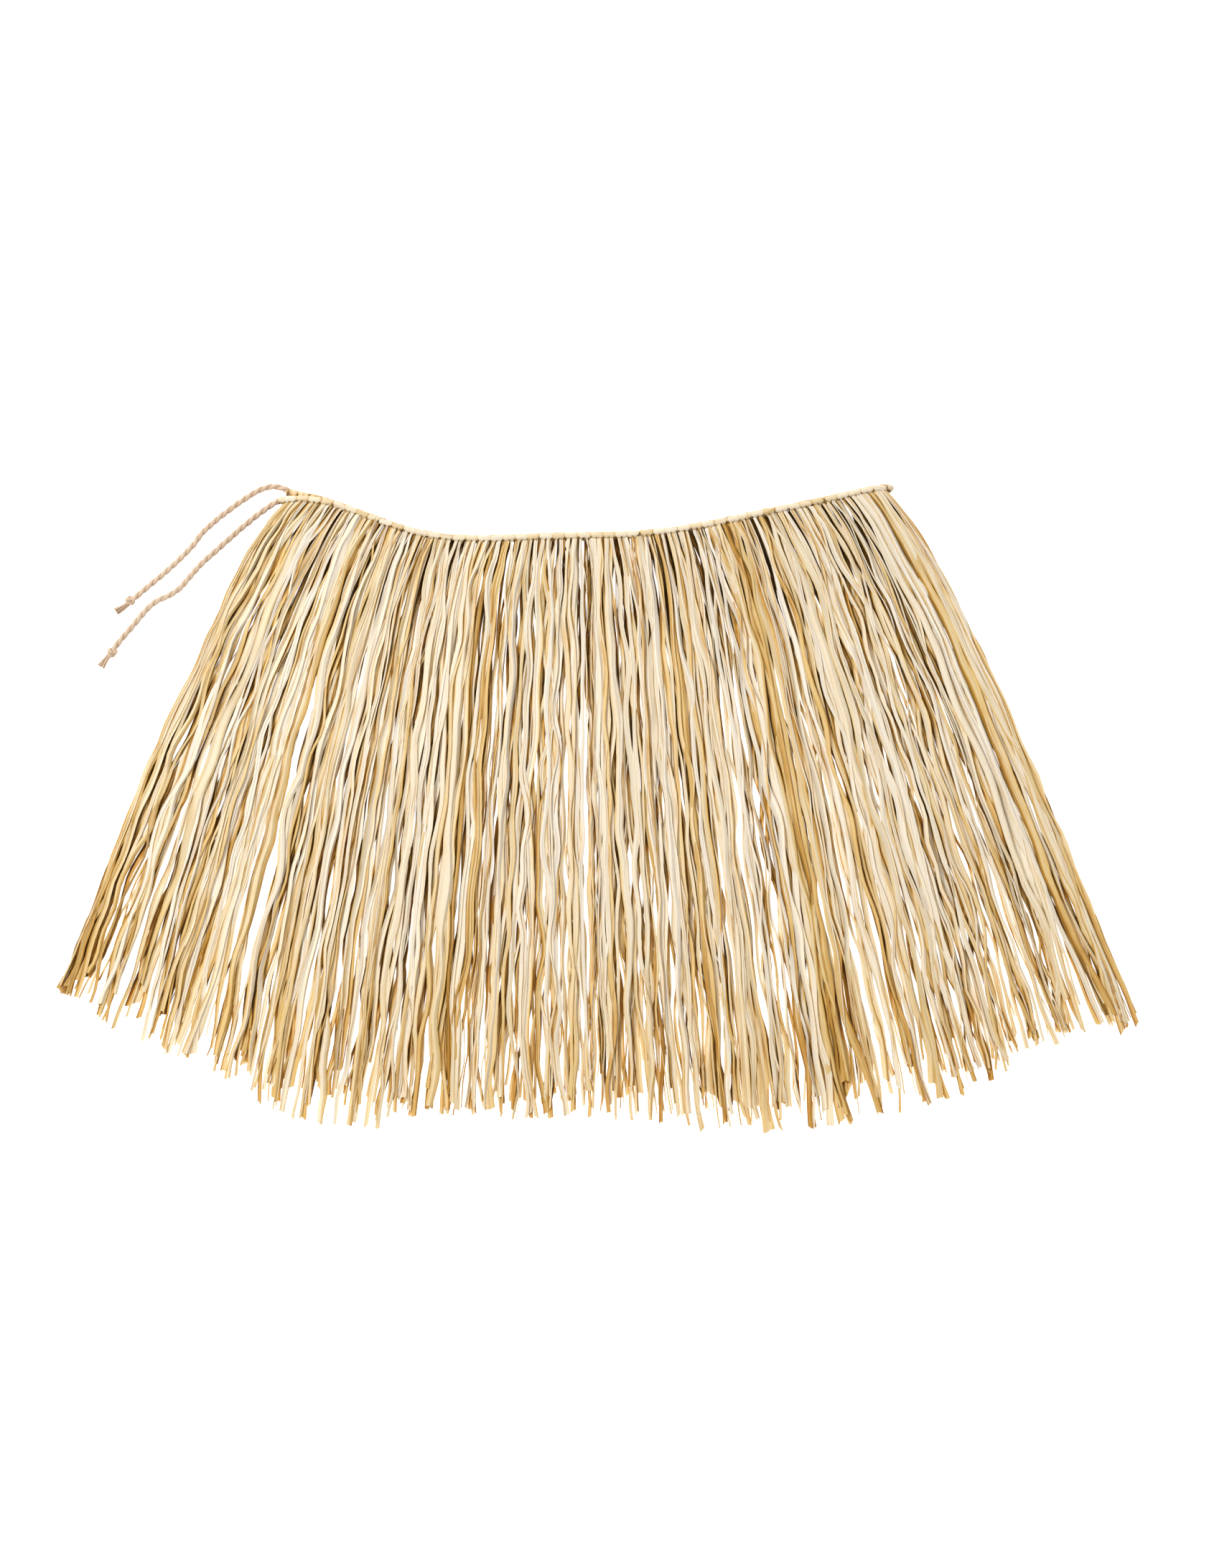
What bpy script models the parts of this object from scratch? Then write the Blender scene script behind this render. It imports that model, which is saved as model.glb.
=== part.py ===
"""Grass skirt, folded in half across its waist and laid flat on a surface.

A cord runs the whole waist. Hanks of flat raffia strips are hitched over it, so a row of
hitches wraps the cord and the strips hang from it as a fringe. Folded in half, the back
half lies on the surface, the front half lies on it, the fold is at the right-hand end, and
the cord's two free ends leave at the left-hand end as ties, each with an overhand knot.

Frame: metres, +Z up, the surface at Z = 0, the waist towards +Y, the fold towards +X, and
the origin under the middle of the skirt. Sizes below are in millimetres.
"""

import math

import bmesh
import bpy
import numpy as np

MM = 0.001
GAP = 0.3  # between pieces that touch

# The cord
TIE_DIAMETER = 4.0
WAIST_CORD_DIAMETER = 3.6  # the hitches squeeze it
TIE_POINT_SPACING = 9.0
WAIST_POINTS = 36  # along each layer
BEND_POINTS = 9  # round the fold

# The row of hitches round the waist cord
HITCH_WALL = 0.8
HITCH_PITCH = 8.7
HITCH_GROOVE = 0.2  # how much thinner the row is between two hitches
HITCH_SIDES = 8
HITCH_OUTER = WAIST_CORD_DIAMETER / 2 + GAP + HITCH_WALL
HITCH_INNER = WAIST_CORD_DIAMETER / 2 + GAP

# The two layers, one on the other
BACK_WAIST_Z = HITCH_OUTER
LAYER_PITCH = 2 * (HITCH_OUTER + GAP)
FRONT_WAIST_Z = BACK_WAIST_Z + LAYER_PITCH
BACK_WALL = 1.7
FRONT_WALL = 1.7
CREASE = 0.9  # height of a lock's ridges
CREASE_TURN = 4.0  # radians by which a ridge wanders across its lock, waist to hem
FRONT_FLOOR = BACK_WALL + CREASE + GAP
DRAPE_SHARE = 0.24  # of the strips' length, in which the front comes down from its waist

# The fan of strips
HEM_HALF_WIDTH = 379.0
BOW = 11.0  # how far the outermost strips bow out of a straight line
BOW_SKEW = 0.8  # under 1 puts the fullest bow above the middle
SLIT_START = 0.14  # share of the length where the locks part
SHARED_HEM_Y = -190.0  # where every lock points until it parts from its neighbours
SLIT_WIDTH = 4.0  # between two locks, at the hem
ROWS = 9
COLUMNS = 3
WELD = 0.02
LINE_SAMPLES = 200  # of the waist line, from which the locks read their tops
CURVE_STEPS = 24  # between two points of a smooth line

# The waist line of the front layer: a shallow dip left of the middle. Columns: x, y.
WAIST_LINE = (
    (-217.0, 212.0),
    (-200.0, 211.6),
    (-178.0, 208.0),
    (-125.0, 189.0),
    (-104.0, 185.2),
    (-64.0, 186.4),
    (-24.0, 185.8),
    (36.0, 189.2),
    (96.0, 198.0),
    (156.0, 211.5),
    (201.6, 220.2),
)
# The back layer's waist peeps out above the front's at its left-hand end.
BACK_END_SHIFT = 5.5
BACK_END_RISE = 5.5
BACK_END_FADE = 16.0

# The cut edge of each layer, left to right: it hangs lower in the middle and steps up at
# the ends. Columns: share of the layer's width, y.
FRONT_HEM = (
    (0.00, -123.0),
    (0.03, -147.0),
    (0.09, -157.0),
    (0.16, -180.0),
    (0.20, -203.0),
    (0.25, -221.0),
    (0.42, -217.0),
    (0.54, -219.0),
    (0.68, -226.0),
    (0.76, -209.0),
    (0.84, -199.0),
    (0.90, -171.0),
    (0.96, -154.0),
    (1.00, -141.0),
)
BACK_HEM = (
    (0.00, -120.0),
    (0.10, -154.0),
    (0.22, -205.0),
    (0.34, -213.0),
    (0.50, -210.0),
    (0.66, -214.0),
    (0.80, -194.0),
    (0.93, -156.0),
    (1.00, -138.0),
)
# Each layer is cut into locks of uneven width, each cut off a little higher than the hem.
FRONT_LOCKS = 18
BACK_LOCKS = 17
UNEVEN_WIDTH = 0.35  # of a lock's mean width, either way
UNEVEN_CUT = 6.0
FRONT_SEED = 5
BACK_SEED = 8

# The free ends of the cord, each from its exit to its knot. Columns: x, y, z.
CLEARANCE = 0.1  # between the cord and the surface
REST_Z = TIE_DIAMETER / 2 + CLEARANCE
BACK_TIE_ROUTE = (
    (-212.3, 217.8, BACK_WAIST_Z),
    (-217.0, 220.4, 2.6),
    (-225.0, 222.0, REST_Z),
    (-234.0, 219.6, REST_Z),
    (-245.0, 213.0, REST_Z),
    (-257.0, 204.4, REST_Z),
    (-265.0, 198.0, REST_Z),
    (-273.6, 190.2, REST_Z),
    (-281.2, 180.4, REST_Z),
    (-292.0, 169.4, REST_Z),
    (-302.6, 160.0, REST_Z),
    (-313.4, 151.0, REST_Z),
    (-322.0, 143.6, REST_Z),
)
FRONT_TIE_ROUTE = (
    (-218.0, 212.0, FRONT_WAIST_Z),
    (-223.0, 209.8, 8.9),
    (-230.4, 205.2, 7.2),
    (-240.6, 197.8, 4.2),
    (-251.6, 188.8, 2.4),
    (-263.4, 178.2, REST_Z),
    (-275.2, 167.6, REST_Z),
    (-282.6, 159.2, REST_Z),
    (-290.4, 150.6, REST_Z),
    (-297.6, 145.8, REST_Z),
    (-305.0, 142.6, REST_Z),
    (-312.4, 136.8, REST_Z),
    (-319.2, 128.8, REST_Z),
    (-326.4, 120.4, REST_Z),
    (-332.2, 113.6, REST_Z),
    (-336.0, 108.6, REST_Z),
)
# An overhand knot and the tail beyond it. Columns: distance from where the tie ends, radius.
KNOT_PROFILE = (
    (0.3, 2.0),
    (1.2, 3.1),
    (3.0, 3.9),
    (5.2, 3.9),
    (6.9, 3.0),
    (7.9, 2.1),
    (11.0, 2.3),
    (15.0, 2.6),
    (18.4, 2.5),
)
BACK_TAIL_TURN = 0.0
FRONT_TAIL_TURN = -0.015  # radians of bend in plan at each row of the profile
KNOT_SIDES = 10
SHARP_ANGLE = 50

RAFFIA = "#DAC299"
RAFFIA_HITCH = "#D7C29E"
CORD = "#D7C0A8"


def linear(value):
    """An sRGB channel from 0 to 1, as linear light."""
    return value / 12.92 if value <= 0.04045 else ((value + 0.055) / 1.055) ** 2.4


def plain_material(name, colour, roughness):
    """A matt dielectric of one colour, given as an sRGB hex value."""
    material = bpy.data.materials.new(name)
    material.use_nodes = True
    shader = material.node_tree.nodes["Principled BSDF"]
    channels = [int(colour[i : i + 2], 16) / 255 for i in (1, 3, 5)]
    shader.inputs["Base Color"].default_value = (*map(linear, channels), 1.0)
    shader.inputs["Roughness"].default_value = roughness
    shader.inputs["Metallic"].default_value = 0.0
    return material


def length_of(line):
    """How long a line of points is."""
    return np.linalg.norm(np.diff(line, axis=0), axis=1).sum()


def along(line, shares):
    """The points at these shares of a line's length."""
    run = np.concatenate([[0], np.cumsum(np.linalg.norm(np.diff(line, axis=0), axis=1))])
    return np.column_stack([np.interp(shares * run[-1], run, axis) for axis in line.T])


def smooth_line(points, count):
    """`count` points, evenly spaced along a Catmull-Rom curve through `points`."""
    knots = np.asarray(points, float)
    ends = (2 * knots[0] - knots[1], 2 * knots[-1] - knots[-2])
    knots = np.vstack([ends[0], knots, ends[1]])
    t = np.linspace(0, 1, CURVE_STEPS, endpoint=False)[:, None]
    spans = []
    for a, b, c, d in zip(knots, knots[1:], knots[2:], knots[3:]):
        cubic = (3 * b - a - 3 * c + d) * t**3
        square = (2 * a - 5 * b + 4 * c - d) * t**2
        spans.append(0.5 * (2 * b + (c - a) * t + square + cubic))
    return along(np.vstack([*spans, knots[-2]]), np.linspace(0, 1, count))


def waist_line(back, count):
    """The waist of one layer in plan, left to right. The back's left end is moved out."""
    line = smooth_line(WAIST_LINE, count)
    if back:
        near = np.exp(-(line[:, 0] - line[0, 0]) / BACK_END_FADE)
        line[:, 0] += BACK_END_SHIFT * near
        line[:, 1] += BACK_END_RISE * near
    return line


def directions(path):
    """Unit tangents along a path."""
    steps = np.gradient(path, axis=0)
    return steps / np.linalg.norm(steps, axis=1)[:, None]


def place(name, data, material):
    """A new object in the scene, made of this mesh or curve."""
    data.materials.append(material)
    obj = bpy.data.objects.new(name, data)
    bpy.context.scene.collection.objects.link(obj)
    return obj


def round_piece(name, points, faces, material):
    """A mesh object from points in millimetres, shaded smooth but for its ends."""
    mesh = bpy.data.meshes.new(name)
    mesh.from_pydata((np.asarray(points) * MM).tolist(), [], faces)
    mesh.shade_smooth()
    mesh.set_sharp_from_angle(angle=math.radians(SHARP_ANGLE))
    return place(name, mesh, material)


def locks_of(hem, count, seed):
    """The locks of a layer: where each starts and ends, its hem's two corners, its crease."""
    draw = np.random.default_rng(seed)
    widths = 1 + UNEVEN_WIDTH * draw.uniform(-1, 1, count)
    edges = np.concatenate([[0], np.cumsum(widths)]) / widths.sum()
    share, height = np.array(hem).T
    cut = UNEVEN_CUT * draw.uniform(0, 1, count)
    left = np.interp(edges[:-1], share, height) + cut
    right = np.interp(edges[1:], share, height) + cut
    phase = draw.uniform(0, 2 * np.pi, count)
    return zip(edges, edges[1:], left, right, phase)


def lock_grid(lock, waist, back):
    """One lock of strips as rows of points down its length, on the low face and the high.

    A point is on the straight line from the waist to the hem, bowed outwards by a sine.
    Past the slit's start the lock narrows about its middle. Its creases are a ridge and a
    furrow across it, which fade at the waist and change sides along the length.
    """
    start, end, hem_left, hem_right, phase = lock
    rows = np.linspace(0, 1, ROWS + 1)[:, None]
    across = np.linspace(0, 1, COLUMNS + 1)[None, :]
    parted = np.clip((rows - SLIT_START) / (1 - SLIT_START), 0, 1)
    squeeze = SLIT_WIDTH * parted / (2 * HEM_HALF_WIDTH * (end - start))
    u = start + (end - start) * (0.5 + (across - 0.5) * (1 - squeeze))
    stations = np.linspace(0, 1, len(waist))
    waist_x = np.interp(u, stations, waist[:, 0])
    waist_y = np.interp(u, stations, waist[:, 1])
    side = 2 * u - 1
    hem_x = HEM_HALF_WIDTH * side
    hem_y = hem_left + (hem_right - hem_left) * across
    x = waist_x + (hem_x - waist_x) * rows + BOW * side * np.sin(np.pi * rows**BOW_SKEW)
    y = waist_y + (SHARED_HEM_Y - waist_y) * rows + (hem_y - SHARED_HEM_Y) * rows * parted
    ridge = np.sin(2 * np.pi * across + phase + CREASE_TURN * rows)
    ridge = 0.5 * CREASE * (1 + ridge) * np.clip(rows / SLIT_START, 0, 1)
    ridge[:, [0, -1]] = 0
    if back:
        low = np.zeros_like(x)
        high = BACK_WALL + ridge
    else:
        fall = np.clip(1 - rows / DRAPE_SHARE, 0, 1) + 0 * across
        fall = fall * fall * (3 - 2 * fall)
        top = FRONT_WAIST_Z - FRONT_WALL / 2
        low = FRONT_FLOOR + ridge + (top - FRONT_FLOOR) * fall
        high = low + FRONT_WALL
    return np.stack([x, y, low], -1), np.stack([x, y, high], -1)


def fringe(name, locks, back, material):
    """A layer's strips as one comb-shaped wall, its locks joined above the slits."""
    waist = waist_line(back, LINE_SAMPLES)
    down = directions(waist)[:, ::-1] * (1, -1)
    waist = waist + down * (HITCH_OUTER + GAP)
    build = bmesh.new()
    for lock in locks:
        under, over = (
            [[build.verts.new(point * MM) for point in row] for row in face]
            for face in lock_grid(lock, waist, back)
        )
        for r in range(ROWS):
            for c in range(COLUMNS):
                ring = ((r, c), (r, c + 1), (r + 1, c + 1), (r + 1, c))
                build.faces.new([under[i][j] for i, j in ring])
                build.faces.new([over[i][j] for i, j in reversed(ring)])
    bmesh.ops.remove_doubles(build, verts=build.verts, dist=WELD * MM)
    wall_in(build)
    bmesh.ops.recalc_face_normals(build, faces=build.faces)
    mesh = bpy.data.meshes.new(name)
    build.to_mesh(mesh)
    build.free()
    return place(name, mesh, material)


def wall_in(build):
    """Joins the borders of the low and high faces, point above point."""
    border = [edge for edge in build.edges if len(edge.link_faces) == 1]
    plan = {}
    for edge in border:
        key = frozenset((round(v.co.x, 6), round(v.co.y, 6)) for v in edge.verts)
        plan.setdefault(key, []).append(edge)
    for pair in plan.values():
        first, second = pair
        a, b = first.verts
        near = min(second.verts, key=lambda v: (v.co.xy - a.co.xy).length)
        far = second.other_vert(near)
        build.faces.new((a, b, far, near))


def rings_along(path, radii, sides):
    """Rings of points round a path, each in the plane across it and turned as the last."""
    tangents = directions(path)
    side = np.cross(tangents[0], (0, 0, 1))
    angle = 2 * np.pi * (np.arange(sides) + 0.5) / sides
    rings = []
    for centre, tangent, radius in zip(path, tangents, radii):
        side = side - tangent * side.dot(tangent)
        side = side / np.linalg.norm(side)
        up = np.cross(side, tangent)
        ring = np.outer(np.cos(angle), side) + np.outer(np.sin(angle), up)
        rings.append(centre + ring * radius)
    return np.array(rings)


def skin(first, rings, sides, flip=False):
    """Quads between rings whose points are numbered from `first`."""
    faces = []
    for r in range(rings - 1):
        for s in range(sides):
            a = first + r * sides + s
            b = first + r * sides + (s + 1) % sides
            quad = (a, a + sides, b + sides, b)
            faces.append(quad[::-1] if flip else quad)
    return faces


def hitch_row(name, bend, run, material):
    """The hitches of one layer: a sleeve round the cord, waisted between hitches.

    The sleeve's inner face has a ring at each of the cord's own points, so the two keep
    the same distance all the way. A stretch round the fold, if there is one, comes first.
    """
    count = 2 * round(length_of(run) / HITCH_PITCH)
    bumps = along(run, np.linspace(0, 1, count + 1))
    waisted = np.arange(count + 1) % 2 == 0
    radii = np.where(waisted, HITCH_OUTER - HITCH_GROOVE, HITCH_OUTER)
    outer_path = np.vstack([bend, bumps])
    inner_path = np.vstack([bend, run])
    radii = np.concatenate([np.full(len(bend), HITCH_OUTER), radii])
    outer = rings_along(outer_path, radii, HITCH_SIDES)
    inner = rings_along(inner_path, np.full(len(inner_path), HITCH_INNER), HITCH_SIDES)
    points = np.vstack([outer.reshape(-1, 3), inner.reshape(-1, 3)])
    base = len(outer_path) * HITCH_SIDES
    faces = skin(0, len(outer_path), HITCH_SIDES)
    faces += skin(base, len(inner_path), HITCH_SIDES, flip=True)
    last_out = (len(outer_path) - 1) * HITCH_SIDES
    last_in = base + (len(inner_path) - 1) * HITCH_SIDES
    for a, b, flip in ((0, base, True), (last_out, last_in, False)):
        for s in range(HITCH_SIDES):
            t = (s + 1) % HITCH_SIDES
            quad = (a + s, b + s, b + t, a + t)
            faces.append(quad[::-1] if flip else quad)
    return round_piece(name, points, faces, material)


def cord_tube(name, path, diameter, material):
    """A cord as a round tube with closed ends."""
    curve = bpy.data.curves.new(name, "CURVE")
    curve.dimensions = "3D"
    curve.bevel_depth = diameter / 2 * MM
    curve.bevel_resolution = 2
    curve.use_fill_caps = True
    spline = curve.splines.new("POLY")
    spline.points.add(len(path) - 1)
    flat = np.column_stack([path * MM, np.ones(len(path))])
    spline.points.foreach_set("co", flat.ravel())
    return place(name, curve, material)


def tie(name, route, material):
    """A free end of the cord, along a smooth curve through its route."""
    count = round(length_of(np.asarray(route)) / TIE_POINT_SPACING) + 1
    return cord_tube(name, smooth_line(route, count), TIE_DIAMETER, material)


def tie_knot(name, route, turn, material):
    """The knot and tail, carried on from the end of a tie and resting on the surface."""
    end = np.asarray(route[-1])
    heading = end - np.asarray(route[-2])
    distances, radii = np.array(KNOT_PROFILE).T
    angles = math.atan2(heading[1], heading[0]) + turn * np.arange(len(distances))
    steps = np.diff(distances, prepend=0)
    plan = np.column_stack([np.cos(angles), np.sin(angles), np.zeros(len(angles))])
    path = end * (1, 1, 0) + np.cumsum(plan * steps[:, None], axis=0)
    rings = rings_along(path, radii, KNOT_SIDES)
    rings[:, :, 2] += (radii + CLEARANCE)[:, None]
    faces = skin(0, len(path), KNOT_SIDES)
    faces.append(tuple(range(KNOT_SIDES)))
    faces.append(tuple(reversed(range((len(path) - 1) * KNOT_SIDES, len(path) * KNOT_SIDES))))
    return round_piece(name, rings.reshape(-1, 3), faces, material)


def waist_cord_route():
    """The back's stretch of the waist cord, the bend at the fold, and the front's stretch."""
    back = np.column_stack([waist_line(True, WAIST_POINTS), np.full(WAIST_POINTS, BACK_WAIST_Z)])
    front = np.column_stack([waist_line(False, WAIST_POINTS), np.full(WAIST_POINTS, FRONT_WAIST_Z)])
    heading = (front[-1] - front[-2]) / np.linalg.norm(front[-1] - front[-2])
    turn = np.linspace(-90, 90, BEND_POINTS)[1:-1, None] * np.pi / 180
    out = heading * np.cos(turn) + np.array((0, 0, 1)) * np.sin(turn)
    bend = (back[-1] + front[-1]) / 2 + out * LAYER_PITCH / 2
    return back, bend, front[::-1]


def main():
    for obj in list(bpy.data.objects):
        bpy.data.objects.remove(obj)
    raffia = plain_material("raffia_strips", RAFFIA, 0.65)
    hitched = plain_material("raffia_hitches", RAFFIA_HITCH, 0.6)
    cord = plain_material("twisted_cord", CORD, 0.85)

    back, bend, front = waist_cord_route()
    fringe("fringe_back", locks_of(BACK_HEM, BACK_LOCKS, BACK_SEED), True, raffia)
    fringe("fringe_front", locks_of(FRONT_HEM, FRONT_LOCKS, FRONT_SEED), False, raffia)

    cord_tube("waist_cord", np.vstack([back, bend, front]), WAIST_CORD_DIAMETER, cord)
    clear_of_bend = back[-1] + (back[-2] - back[-1]) * GAP / np.linalg.norm(back[-2] - back[-1])
    hitch_row("hitches_back", np.empty((0, 3)), np.vstack([back[:-1], clear_of_bend]), hitched)
    hitch_row("hitches_front", bend, front, hitched)

    tie("tie_back", BACK_TIE_ROUTE, cord)
    tie("tie_front", FRONT_TIE_ROUTE, cord)
    tie_knot("knot_back", BACK_TIE_ROUTE, BACK_TAIL_TURN, cord)
    tie_knot("knot_front", FRONT_TIE_ROUTE, FRONT_TAIL_TURN, cord)


main()
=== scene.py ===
# %% [markdown]
# # A raffia grass skirt, folded in half and laid flat
# The real skirt is two things only: a twisted cord, and strips of dried raffia palm leaf. The
# maker doubles a hank of strips, hitches it over the cord with a lark's head, and sets the
# hitches side by side until they fill the waist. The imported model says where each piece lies.

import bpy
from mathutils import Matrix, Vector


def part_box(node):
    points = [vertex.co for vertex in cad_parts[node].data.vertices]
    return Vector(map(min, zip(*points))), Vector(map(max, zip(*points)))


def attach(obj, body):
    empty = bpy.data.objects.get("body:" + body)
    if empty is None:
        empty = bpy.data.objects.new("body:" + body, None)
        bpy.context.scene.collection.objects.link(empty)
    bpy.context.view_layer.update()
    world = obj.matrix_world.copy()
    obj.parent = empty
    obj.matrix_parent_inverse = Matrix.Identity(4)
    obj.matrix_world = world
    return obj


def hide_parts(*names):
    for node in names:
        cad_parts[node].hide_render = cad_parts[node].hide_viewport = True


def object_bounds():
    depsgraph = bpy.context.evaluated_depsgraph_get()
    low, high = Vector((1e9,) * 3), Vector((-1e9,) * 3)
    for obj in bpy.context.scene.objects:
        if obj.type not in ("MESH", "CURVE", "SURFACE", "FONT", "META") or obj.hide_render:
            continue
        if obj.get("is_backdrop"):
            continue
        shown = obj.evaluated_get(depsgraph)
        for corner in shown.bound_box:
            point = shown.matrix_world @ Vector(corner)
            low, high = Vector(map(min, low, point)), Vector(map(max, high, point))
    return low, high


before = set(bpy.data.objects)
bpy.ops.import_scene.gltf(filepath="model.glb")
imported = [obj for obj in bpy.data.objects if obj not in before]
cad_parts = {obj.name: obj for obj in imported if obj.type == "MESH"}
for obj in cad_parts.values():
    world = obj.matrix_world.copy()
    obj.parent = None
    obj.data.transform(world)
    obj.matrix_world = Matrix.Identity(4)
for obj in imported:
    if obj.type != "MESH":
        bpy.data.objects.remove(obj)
cad_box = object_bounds()
print("model box in metres:", [[round(float(v), 4) for v in corner] for corner in cad_box])

# %% Tools and the one unit
import math

import bpy
import numpy as np

MM = 0.001  # every size below is in millimetres, and a mesh is in metres

# %% [markdown]
# ## The camera
# The skirt is seen from straight above. The camera comes first, because the cords are tested
# against what it sees. A long lens keeps the edges upright: 70 mm on a 36 mm sensor, at the
# height where its view is as tall as the frame needs to be.

# %% Camera straight overhead
VIEW_HEIGHT = 1092.0  # of what the picture shows, top to bottom
VIEW_CENTRE = (6.5, 14.5)
LENS, SENSOR = 70.0, 36.0

camera_data = bpy.data.cameras.new("overhead")
camera_data.lens = LENS
camera_data.sensor_width = SENSOR
camera_data.clip_end = 20.0
camera = bpy.data.objects.new("overhead", camera_data)
camera_height = VIEW_HEIGHT * LENS / SENSOR + 6.0
camera.location = (VIEW_CENTRE[0] * MM, VIEW_CENTRE[1] * MM, camera_height * MM)
bpy.context.scene.collection.objects.link(camera)
bpy.context.scene.camera = camera
print("camera", round(camera_height), "mm above the surface")


# %% [markdown]
# ## Colours and nodes
# Colours are picked as sRGB hex values, as on any screen, but a shader adds up light, so one
# function turns them linear. Materials are small graphs, and one function adds each node.

# %% Colour and node helpers
def linear(colour):
    """An sRGB hex colour as linear RGBA: c / 12.92 if dark, else ((c + 0.055) / 1.055) ^ 2.4."""
    channels = np.array([int(colour[i : i + 2], 16) / 255 for i in (1, 3, 5)])
    light = np.where(channels <= 0.04045, channels / 12.92, ((channels + 0.055) / 1.055) ** 2.4)
    return (*light.tolist(), 1.0)


def add_node(tree, kind, inputs=None, **settings):
    """A new node: settings are its own properties, and inputs are values or sockets to link."""
    made = tree.nodes.new(kind)
    for name, value in settings.items():
        setattr(made, name, value)
    for name, value in (inputs or {}).items():
        if isinstance(value, bpy.types.NodeSocket):
            tree.links.new(value, made.inputs[name])
        else:
            made.inputs[name].default_value = value
    return made


def new_material(name):
    """An empty node material and its node tree."""
    material = bpy.data.materials.new(name)
    material.use_nodes = True
    material.node_tree.nodes.clear()
    return material, material.node_tree


def principled(tree, inputs):
    """The tree's one shader, linked to the material's output."""
    shader = add_node(tree, "ShaderNodeBsdfPrincipled", inputs)
    add_node(tree, "ShaderNodeOutputMaterial", {"Surface": shader.outputs["BSDF"]})


def maths(tree, operation, *values):
    """The result of one sum on numbers or sockets."""
    made = add_node(tree, "ShaderNodeMath", dict(enumerate(values)), operation=operation)
    return made.outputs["Value"]


def ramp(tree, value, stops):
    """A colour ramp over (position, hex colour) stops."""
    made = add_node(tree, "ShaderNodeValToRGB", {"Fac": value})
    elements = made.color_ramp.elements
    while len(elements) < len(stops):
        elements.new(0.5)
    for element, (position, colour) in zip(elements, stops):
        element.position = position
        element.color = linear(colour)
    return made.outputs["Color"]


def own_tone(tree):
    """The tone that a mesh carries at each point."""
    return add_node(tree, "ShaderNodeAttribute", attribute_name="tone").outputs["Fac"]


def grain(tree, across, along, detail):
    """Noise on the strip's own UV map: its spots are this wide and this long, in millimetres."""
    place = add_node(tree, "ShaderNodeUVMap", uv_map="strip")
    spot = add_node(tree, "ShaderNodeMapping", {
        "Vector": place.outputs["UV"], "Scale": (1 / across, 1 / along, 1.0),
    })
    return add_node(tree, "ShaderNodeTexNoise", {
        "Vector": spot.outputs["Vector"], "Scale": 1.0, "Detail": detail, "Roughness": 0.6,
    }, noise_dimensions="2D").outputs["Fac"]


# %% [markdown]
# ## Raffia
# Raffia is the skin of a young palm leaflet, peeled off and dried in the sun: a flat, slightly
# waxy ribbon of long fibres. So the eye gets fine streaks along the strip, a few darker veins,
# a low sheen, and light that glows through it. Each strip carries a tone as an attribute: its
# own colour, from cream to gold, plus painted shade that makes the covered strips darker and
# more golden. The streaks follow the strip's own UV map, which is in millimetres.

# %% Material: dried raffia leaf
VEIN_SPACING = 0.9  # between the darker veins, across the strip
STREAK_WIDTH, STREAK_LENGTH = 0.35, 40.0
BLOTCH_WIDTH, BLOTCH_LENGTH = 5.0, 25.0
STREAK_DEPTH, BLOTCH_DEPTH = 0.22, 0.2  # how far each moves the tone


def dried_raffia(name, stops):
    """Leaf ribbon: tone picks the strip's colour, streaks and veins run along it."""
    material, tree = new_material(name)
    streak = grain(tree, STREAK_WIDTH, STREAK_LENGTH, 3.0)
    vein = grain(tree, VEIN_SPACING, 3 * STREAK_LENGTH, 1.0)
    blotch = grain(tree, BLOTCH_WIDTH, BLOTCH_LENGTH, 2.0)
    tone = maths(tree, "MULTIPLY_ADD", streak, STREAK_DEPTH, own_tone(tree))
    tone = maths(tree, "MULTIPLY_ADD", blotch, BLOTCH_DEPTH, tone)
    tone = maths(tree, "SUBTRACT", tone, (STREAK_DEPTH + BLOTCH_DEPTH) / 2)
    vein_mask = add_node(tree, "ShaderNodeMapRange", {
        "Value": vein, "From Min": 0.62, "From Max": 0.76, "To Min": 0.0, "To Max": 0.5,
    })
    veined = add_node(tree, "ShaderNodeMix", {
        "Factor": vein_mask.outputs["Result"],
        "A": ramp(tree, tone, stops),
        "B": linear(stops[-2][1]),
    }, data_type="RGBA")
    rough = add_node(tree, "ShaderNodeMapRange", {
        "Value": streak, "From Min": 0.3, "From Max": 0.7, "To Min": 0.48, "To Max": 0.68,
    })
    bump = add_node(tree, "ShaderNodeBump", {
        "Height": streak, "Strength": 0.5, "Distance": 0.15 * MM,
    })
    principled(tree, {
        "Base Color": veined.outputs["Result"],
        "Roughness": rough.outputs["Result"],
        "Normal": bump.outputs["Normal"],
        "IOR": 1.45,
        "Specular IOR Level": 0.4,
        "Sheen Weight": 0.08,
        "Subsurface Weight": 0.12,
        "Subsurface Radius": (1.0, 0.62, 0.28),
        "Subsurface Scale": 1.2 * MM,
    })
    return material


raffia = dried_raffia("dried_raffia_leaf", (
    (0.0, "#FBF1E2"), (0.3, "#F6E6CB"), (0.55, "#E8C684"), (0.78, "#C08A2E"), (1.0, "#5E4517"),
))
# The hitches get a darker copy of the ramp: painted shade that tones down their sides that face the
# window.
hitch_raffia_shaded = dried_raffia("raffia_darkened_for_hitches", (
    (0.0, "#F4E6D0"), (0.3, "#ECD9BB"), (0.55, "#D8B983"), (0.78, "#A87C3A"), (1.0, "#4A3610"),
))
print("raffia streaks", STREAK_WIDTH, "mm wide and", STREAK_LENGTH, "mm long")

# %% [markdown]
# ## Twisted cord
# The cord is spun plant fibre, two plies laid together. It is matt and slightly pink beside
# the raffia, with painted shade in the grooves between its plies, and fibres that run along each
# ply.

# %% Material: spun plant-fibre cord
FIBRE_WIDTH, FIBRE_LENGTH = 0.3, 7.0


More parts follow.
